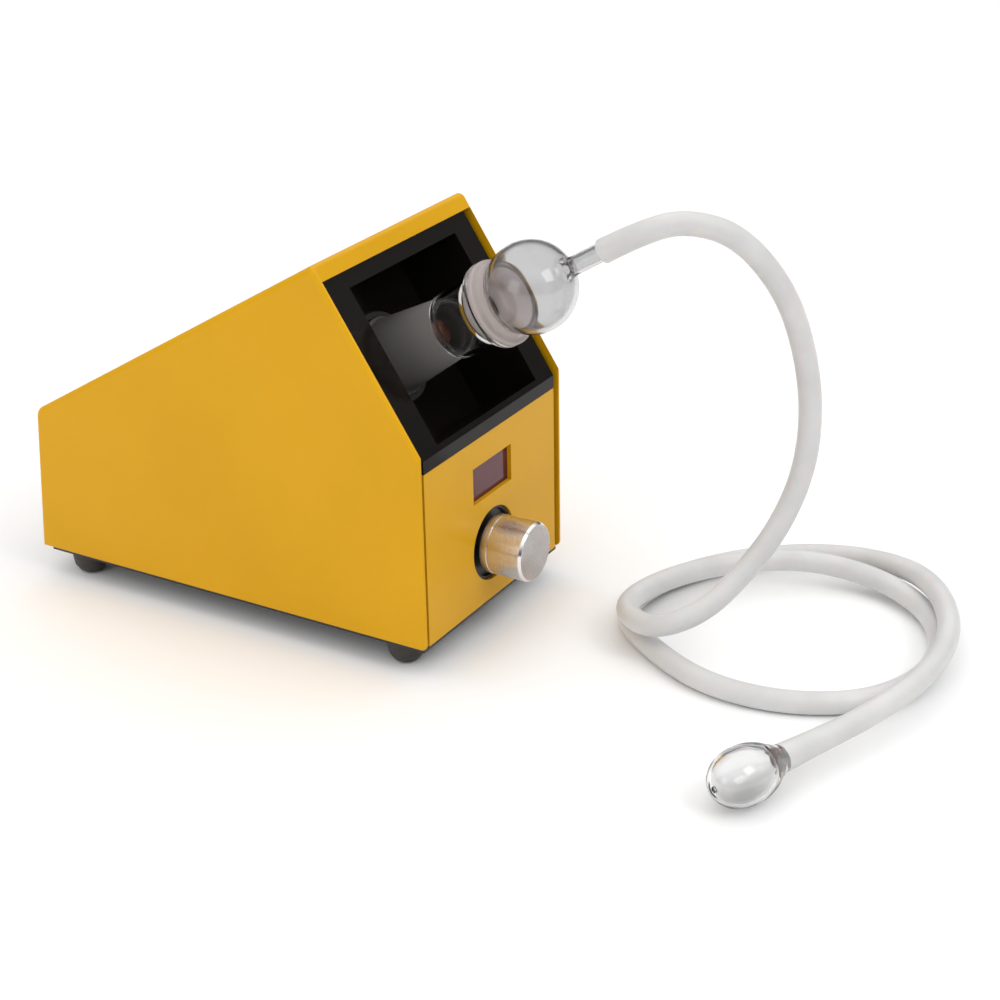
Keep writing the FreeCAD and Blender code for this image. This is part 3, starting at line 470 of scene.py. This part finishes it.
def make_joint():
    """Ground-glass joint: a flared clear lip on the well floor, a frosted cone, an open mouth."""
    joint = turned("joint_glass", slope_frame(), [
        (18.0, -35.5, 0.9), (18.0, -32.2, 1.8), (16.6, -30.2, 2.0), (16.2, -27.0, 3.0),
        (13.2, 1.6, 1.0), (12.9, 2.95, 0.5), (11.7, 2.95, 0.4), (11.6, 5.1, 0.5),
        (10.2, 5.1, 0.5), (10.1, 1.0, 2.0), (11.6, -3.0, 2.0), (14.5, -30.5, 1.0),
        (14.6, -35.5, 0.6),
    ], True, [FINISHES["frosted_glass"], FINISHES["clear_glass"]], "box",
        lambda radius, height: 1 if height < -31.3 or height > 2.2 else 0)
    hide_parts("heater_joint")


def make_bowl():
    """Clear cylinder on the joint's shoulder, opening into a rolled ring."""
    bowl = turned("bowl_glass_wall", slope_frame(), [
        (11.85, 3.1, 0.5), (14.35, 3.1, 1.1), (14.35, 25.2, 1.4), (18.35, 26.2, 1.1),
        (18.35, 28.65, 1.0), (12.05, 28.65, 0.5), (11.5, 21.0, 0.5), (12.5, 19.6, 0.8),
        (12.5, 5.1, 0.9), (11.85, 5.1, 0.4),
    ], True, [FINISHES["clear_glass"]], "bowl_glass")
    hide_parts("bowl")


BALL, BALL_RADIUS, WALL = 47.2, 19.1, 1.6
NOZZLE_END = 86.5


def make_bulb():
    """Blown bulb with a ground plug, a frosted ring that seats on the bowl, and a nozzle."""
    root = math.asin(6.3 / BALL_RADIUS)
    neck = math.pi - math.asin(15.6 / BALL_RADIUS)
    inner = BALL_RADIUS - WALL
    inner_root = math.asin(3.4 / inner)
    inner_neck = math.pi - math.asin(13.9 / inner)
    corners = [
        (5.5, 21.1, 0.4), (11.4, 21.1, 0.5), (11.95, 28.75, 0.3), (18.35, 28.75, 1.1),
        (18.35, 31.3, 1.2), (15.9, 32.3, 1.2), (15.5, 35.2, 1.6),
    ]
    corners += arc(BALL, BALL_RADIUS, neck, root)
    corners += [(4.5, 66.4, 2.2), (3.85, 70.5, 1.5), (3.8, NOZZLE_END, 0.4),
                (2.6, NOZZLE_END, 0.4), (2.6, 67.5, 1.0)]
    corners += arc(BALL, inner, inner_root, inner_neck)
    corners += [(13.6, 34.8, 1.2), (9.9, 29.8, 1.2), (9.7, 25.5, 1.5), (5.5, 22.9, 0.5)]

    def part_of(radius, height):
        """The clear ball and nozzle, the plug and its bore, or the ring."""
        if height > 35.5:
            return 0
        return 1 if radius < 14.2 else 2

    bulb = turned("bulb_glass", slope_frame(), corners, True,
                  [BULB_GLASS_PAINTED_SHADE, PLUG_GLASS, RING_GLASS], "whip",
                  part_of)
    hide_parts("whip_bulb")


def make_mouthpiece():
    """Blown ovoid, a little pear-shaped towards the hose, with a small hole at its tip."""
    end, before = Vector(MOUTH_END), Vector(HOSE_ROUTE[-2])
    way = (end - before).normalized()
    side = Vector((0, 0, 1)).cross(way).normalized()
    place = Matrix((side, way.cross(side), way)).transposed().to_4x4()
    place = Matrix.Translation(end) @ place
    outer = flowing([(5.3, 0.3), (5.7, 3.5), (7.6, 8.0), (9.9, 12.6), (11.25, 17.2), (11.6, 21.8),
                     (11.1, 26.6), (9.5, 31.0), (6.6, 34.6), (3.4, 36.3), (1.2, 36.75)])
    inner = flowing([(1.1, 35.6), (3.3, 34.9), (6.0, 33.2), (8.2, 30.2), (9.6, 26.2), (10.0, 21.8),
                     (9.65, 17.6), (8.2, 13.2), (5.6, 9.0), (3.2, 6.2), (2.5, 3.0), (2.4, 0.3)])
    tip = turned("mouthpiece_glass", place, outer + inner, True, [TIP_GLASS],
                 "whip")
    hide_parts("mouthpiece")
    return tip


KNOB_AXIS = 0.0388
KNOB_RADIUS, KNOB_BACK, KNOB_EDGE_START, KNOB_FRONT = 12.95, 78.3, 97.6, 98.8
GROOVE_RADIUS, GROOVE = 12.65, (82.0, 82.2, 82.5, 82.7)


def make_knob():
    """Polished turned knob: a brushed face, a chamfer painted lighter as a highlight, a groove and
    a set-screw hole.
    """
    corners = [
        (3.2, KNOB_BACK, 0), (12.3, KNOB_BACK, 0.3), (KNOB_RADIUS, 78.9, 0.3),
        (KNOB_RADIUS, GROOVE[0], 0.1), (GROOVE_RADIUS, GROOVE[1], 0.1),
        (GROOVE_RADIUS, GROOVE[2], 0.1), (KNOB_RADIUS, GROOVE[3], 0.1),
        (KNOB_RADIUS, KNOB_EDGE_START, 0.25), (12.2, KNOB_FRONT, 0.25), (0, KNOB_FRONT, 0),
    ]

    def part_of(radius, height):
        """The front face, the chamfer or the side."""
        if height > KNOB_FRONT - 0.1 and radius < 12.0:
            return 1
        return 2 if height > KNOB_EDGE_START else 0

    knob = turned("knob_turned", front_frame(KNOB_AXIS), corners, False,
                  [FINISHES["knob_metal"], KNOB_FACE, KNOB_EDGE], "knob_turn",
                  part_of, 128)
    drill(knob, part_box("knob_set_screw"))
    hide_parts("knob")


DRILL_REACH = 0.02


def drill(piece, box):
    """Cut a round hole along X out of a piece, from the low end of the box of its screw."""
    low, high = (Vector(corner) for corner in box)
    radius = (high.z - low.z) / 2
    cutter = bpy.data.meshes.new("cutter")
    shape = bmesh.new()
    bmesh.ops.create_cone(shape, cap_ends=True, segments=32, radius1=radius, radius2=radius,
                          depth=DRILL_REACH)
    middle = Vector((low.x + DRILL_REACH / 2, (low.y + high.y) / 2, (low.z + high.z) / 2))
    shape.transform(Matrix.Translation(middle) @ Matrix.Rotation(math.pi / 2, 4, "Y"))
    shape.to_mesh(cutter)
    shape.free()
    tool = bpy.data.objects.new("cutter", cutter)
    bpy.context.scene.collection.objects.link(tool)
    cut = piece.modifiers.new("hole", "BOOLEAN")
    cut.object = tool
    cut.solver = "EXACT"
    ready = piece.evaluated_get(bpy.context.evaluated_depsgraph_get())
    mesh = bpy.data.meshes.new_from_object(ready)
    piece.modifiers.clear()
    piece.data = mesh
    bpy.data.objects.remove(tool)


FOOT_FLAT, FOOT_GAP = 0.02, 0.05


def make_feet():
    """Domed rubber feet, widest near the plate, with a small flat to stand on."""
    for name in sorted(nodes):
        if not name.startswith("foot_") or name == "foot_screws":
            continue
        low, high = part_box(name)
        x, y = (low[0] + high[0]) / 2, (low[1] + high[1]) / 2
        top = high[2] / MM - FOOT_GAP
        foot = turned(name + "_rubber", Matrix.Translation((x, y, 0)), [
            (0, FOOT_FLAT, 0), (3.0, FOOT_FLAT, 0.5), (5.6, 1.2, 3.0), (7.6, 4.3, 3.0),
            (8.2, 8.0, 2.0), (8.2, top, 0.6), (3.0, top, 0),
        ], False, [FINISHES["foot_rubber"]], "box", segments=64)
        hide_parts(name)


# ------------------------------------------------------------------ hose

HOSE_DIAMETER = 0.0095
STRETCH_ON_NOZZLE, STRETCH_ON_TIP = 1.06, 1.2
HOSE_ROUTE = [
    (0, -0.1309, 0.17676), (0, -0.1486, 0.1877), (0.007, -0.1636, 0.1918),
    (0.0204, -0.1794, 0.1841), (0.0355, -0.1922, 0.1598), (0.0443, -0.1983, 0.1315),
    (0.049, -0.2002, 0.1029), (0.0472, -0.1981, 0.0764), (0.0394, -0.1908, 0.0531),
    (0.0271, -0.1817, 0.0366), (0.0095, -0.1718, 0.0239), (-0.002, -0.1535, 0.017),
    (0.0135, -0.1315, 0.0151), (0.0443, -0.1342, 0.014), (0.0744, -0.1522, 0.014),
    (0.0997, -0.1809, 0.012), (0.1043, -0.2167, 0.0076), (0.0851, -0.2477, 0.0049),
    (0.0478, -0.2614, 0.0049), (0.0113, -0.2513, 0.0049), (-0.009, -0.2227, 0.0049),
    (-0.0125, -0.1873, 0.0049), (0.0014, -0.1557, 0.0049), (0.0233, -0.1274, 0.0049),
    (0.0555, -0.125, 0.0049), (0.0929, -0.1443, 0.0049), (0.1174, -0.173, 0.005),
    (0.1197, -0.2064, 0.009), (0.101, -0.2382, 0.015), (0.0642, -0.2613, 0.0158),
    (0.0234, -0.2662, 0.0155), (-0.0126, -0.2577, 0.014), (-0.0351, -0.2473, 0.012),
    (-0.0588, -0.2379, 0.012),
]
MOUTH_END = (-0.056, -0.239, 0.012)


def make_hose(tip):
    """One NURBS line from the nozzle to the mouthpiece, a little wider where glass fills it."""
    data = bpy.data.curves.new("hose_line", "CURVE")
    data.dimensions = "3D"
    spline = data.splines.new("NURBS")
    spline.points.add(len(HOSE_ROUTE) - 1)
    for point, place in zip(spline.points, HOSE_ROUTE):
        point.co = (*place, 1)
    spline.order_u = 3
    spline.use_endpoint_u = True
    spline.resolution_u = 14
    spline.points[0].radius = STRETCH_ON_NOZZLE
    spline.points[-1].radius = STRETCH_ON_TIP
    data.bevel_depth = HOSE_DIAMETER / 2
    data.bevel_resolution = 10
    data.use_fill_caps = True
    data.materials.append(FINISHES["silicone"])
    hose = bpy.data.objects.new("hose_line", data)
    bpy.context.scene.collection.objects.link(hose)
    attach(hose, "whip")
    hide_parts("hose")


make_joint()
make_bowl()
make_bulb()
make_knob()
make_feet()
make_hose(make_mouthpiece())

# ------------------------------------------------------------------ stage

FLOOR_HALF = 6
FLOOR_COLOUR, FLOOR_ROUGHNESS = (0.93, 0.93, 0.93, 1), 0.9
SKY_RANGE = (0.15, 0.75)
SKY_LOW, SKY_HIGH = 0.14, 1.36
LIGHT_AIM = (0, -0.05, 0.09)


def soft_light(name, way, distance, size, power):
    """A rectangular area light in a direction from the object, turned to face it."""
    data = bpy.data.lights.new(name, "AREA")
    data.shape = "RECTANGLE"
    data.size, data.size_y = size
    data.energy = power
    light = bpy.data.objects.new(name, data)
    away = Vector(way).normalized()
    light.matrix_world = (Matrix.Translation(Vector(LIGHT_AIM) + away * distance)
                          @ away.to_track_quat("Z", "Y").to_matrix().to_4x4())
    bpy.context.scene.collection.objects.link(light)


def make_stage():
    """A wide pale floor under the object."""
    mesh = bpy.data.meshes.new("floor")
    plane = bmesh.new()
    bmesh.ops.create_grid(plane, x_segments=1, y_segments=1, size=FLOOR_HALF)
    plane.to_mesh(mesh)
    plane.free()
    floor = bpy.data.objects.new("floor", mesh)
    bpy.context.scene.collection.objects.link(floor)
    paint = bpy.data.materials.new("floor_paint")
    paint.use_nodes = True
    shader = paint.node_tree.nodes["Principled BSDF"]
    shader.inputs["Base Color"].default_value = FLOOR_COLOUR
    shader.inputs["Roughness"].default_value = FLOOR_ROUGHNESS
    mesh.materials.append(paint)


def make_sky():
    """A plain white surround, brighter overhead than at the horizon."""
    world = bpy.data.worlds.new("studio")
    world.use_nodes = True
    tree = world.node_tree
    place = tree.nodes.new("ShaderNodeTexCoord")
    split = tree.nodes.new("ShaderNodeSeparateXYZ")
    ramp = tree.nodes.new("ShaderNodeMapRange")
    ramp.interpolation_type = "SMOOTHSTEP"
    for index, number in zip((1, 2, 3, 4), (*SKY_RANGE, SKY_LOW, SKY_HIGH)):
        ramp.inputs[index].default_value = number
    tree.links.new(place.outputs["Generated"], split.inputs[0])
    tree.links.new(split.outputs["Z"], ramp.inputs[0])
    tree.links.new(ramp.outputs[0], tree.nodes["Background"].inputs["Strength"])
    tree.nodes["Background"].inputs["Color"].default_value = (1, 1, 1, 1)
    bpy.context.scene.world = world


make_stage()
make_sky()
soft_light("softbox", (-0.08, -0.76, 0.63), 1.1, (0.42, 0.50), 2.0)
soft_light("side_fill", (-0.95, 0.25, 0.3), 1.6, (0.8, 0.8), 3.2)
bpy.context.scene.view_settings.view_transform = "Standard"
